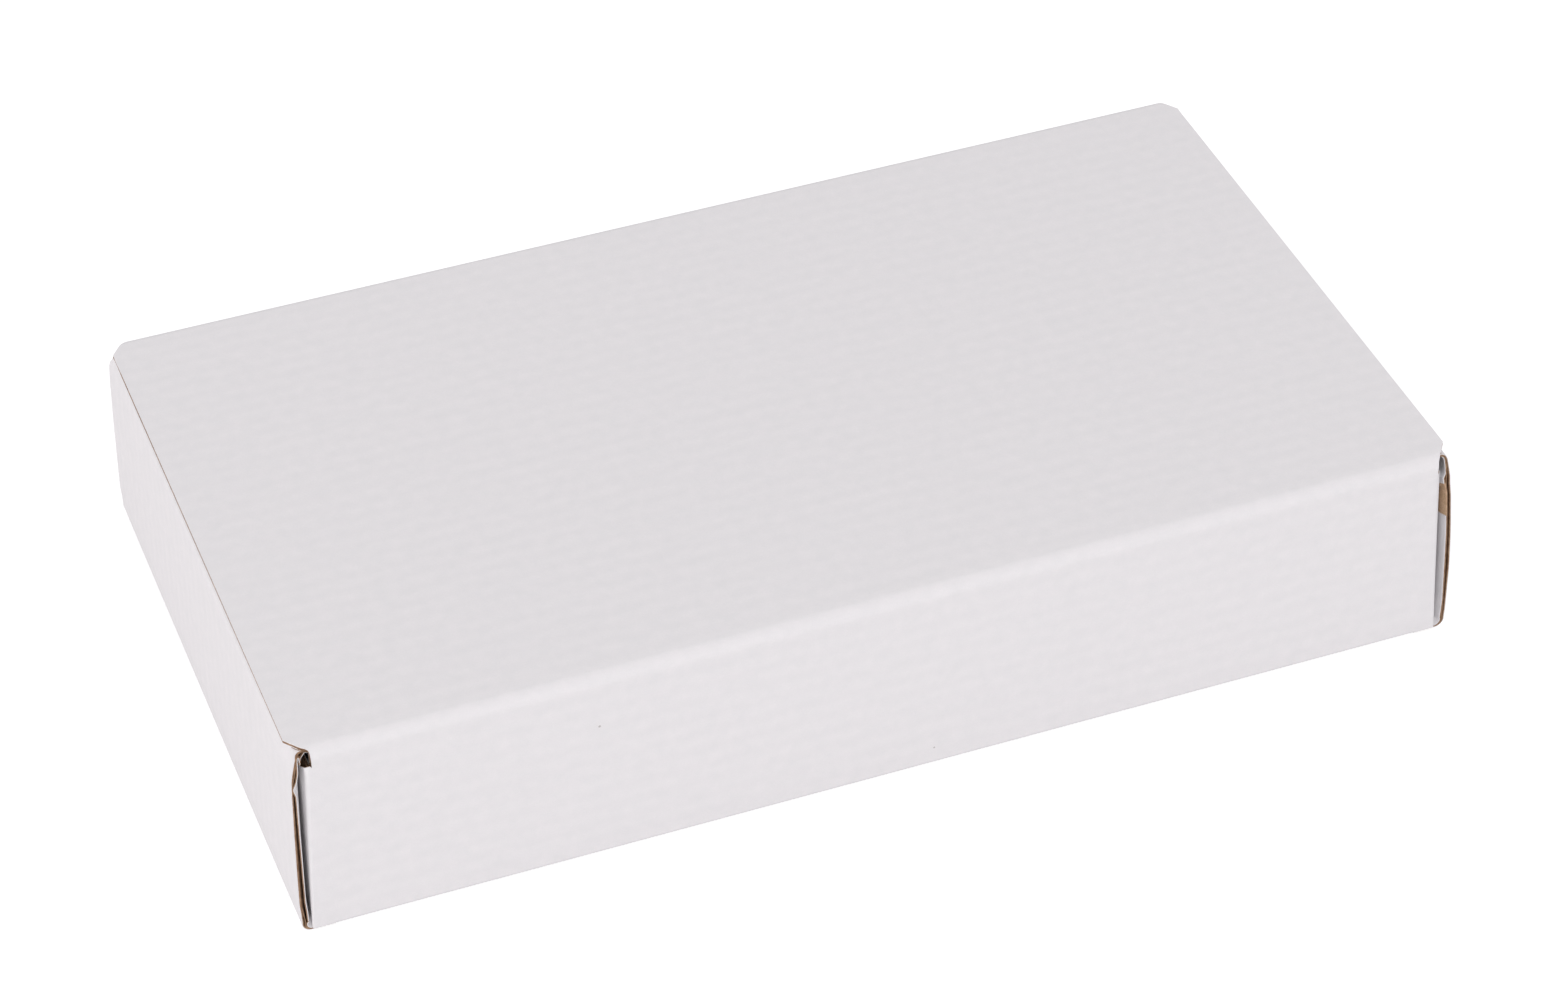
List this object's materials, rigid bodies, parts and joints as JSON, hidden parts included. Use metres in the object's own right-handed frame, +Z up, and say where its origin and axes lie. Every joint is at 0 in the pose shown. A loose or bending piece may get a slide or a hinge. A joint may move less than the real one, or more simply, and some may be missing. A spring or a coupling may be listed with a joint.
{
  "type": "tuck end box",
  "caption": "Low rectangular carton of white corrugated board: a folded tube closed at both short ends by panels that hinge at the base and tuck in under the top.",
  "frame": {"origin": "middle of the closed carton's underside, on the surface that it rests on", "axes": "+X along the carton from the left end panel to the right one, +Y from the front panel to the back panel, +Z up from the bottom panel to the top panel"},
  "size_m": [0.1952, 0.11, 0.036],
  "materials": {
    "white_board": "uncoated white paper liner, matt",
    "brown_fluting": "brown kraft paper, raw cut edge",
    "seam_glue": "dried white glue film"
  },
  "bodies": {
    "carton_tube": {"bottom_panel": "white_board", "front_panel": "white_board", "top_panel": "white_board", "back_panel": "white_board", "front_top_crease": "white_board", "back_top_crease": "white_board", "front_bottom_crease": "white_board", "glue_flap": "white_board", "glue_flap_crease": "white_board", "seam_glue": "seam_glue"},
    "left_end": {"left_end_panel": "white_board", "left_end_crease": "white_board"},
    "left_tuck": {"left_tuck_flap": "white_board", "left_tuck_crease": "white_board"},
    "right_end": {"right_end_panel": "white_board", "right_end_crease": "white_board"},
    "right_tuck": {"right_tuck_flap": "white_board", "right_tuck_crease": "white_board"},
    "front_left_dust": {"front_left_dust_flap": "white_board", "front_left_dust_flap_crease": "white_board"},
    "back_left_dust": {"back_left_dust_flap": "white_board", "back_left_dust_flap_crease": "white_board"},
    "front_right_dust": {"front_right_dust_flap": "white_board", "front_right_dust_flap_crease": "white_board"},
    "back_right_dust": {"back_right_dust_flap": "white_board", "back_right_dust_flap_crease": "white_board"}
  },
  "joints": [
    {"name": "left_end_hinge", "type": "hinge", "parent": "carton_tube", "child": "left_end", "pos_m": [-0.09761, 0, 0], "axis": [0, -1, 0], "range_deg": [0, 90]},
    {"name": "left_tuck_hinge", "type": "hinge", "parent": "left_end", "child": "left_tuck", "pos_m": [-0.0951, 0, 0.0325], "axis": [0, 1, 0], "range_deg": [0, 27]},
    {"name": "right_end_hinge", "type": "hinge", "parent": "carton_tube", "child": "right_end", "pos_m": [0.09761, 0, 0], "axis": [0, 1, 0], "range_deg": [0, 90]},
    {"name": "right_tuck_hinge", "type": "hinge", "parent": "right_end", "child": "right_tuck", "pos_m": [0.0951, 0, 0.0325], "axis": [0, -1, 0], "range_deg": [0, 27]},
    {"name": "front_left_dust_hinge", "type": "hinge", "parent": "carton_tube", "child": "front_left_dust", "pos_m": [-0.0933, -0.0533, 0], "axis": [0, 0, -1], "range_deg": [0, 85]},
    {"name": "back_left_dust_hinge", "type": "hinge", "parent": "carton_tube", "child": "back_left_dust", "pos_m": [-0.0933, 0.0533, 0], "axis": [0, 0, 1], "range_deg": [0, 75]},
    {"name": "front_right_dust_hinge", "type": "hinge", "parent": "carton_tube", "child": "front_right_dust", "pos_m": [0.0933, -0.0533, 0], "axis": [0, 0, 1], "range_deg": [0, 85]},
    {"name": "back_right_dust_hinge", "type": "hinge", "parent": "carton_tube", "child": "back_right_dust", "pos_m": [0.0933, 0.0533, 0], "axis": [0, 0, -1], "range_deg": [0, 75]}
  ],
  "couplings": [
    {"joint": "left_tuck_hinge", "follows": "left_end_hinge", "ratio": 0.3},
    {"joint": "right_tuck_hinge", "follows": "right_end_hinge", "ratio": 0.3}
  ]
}
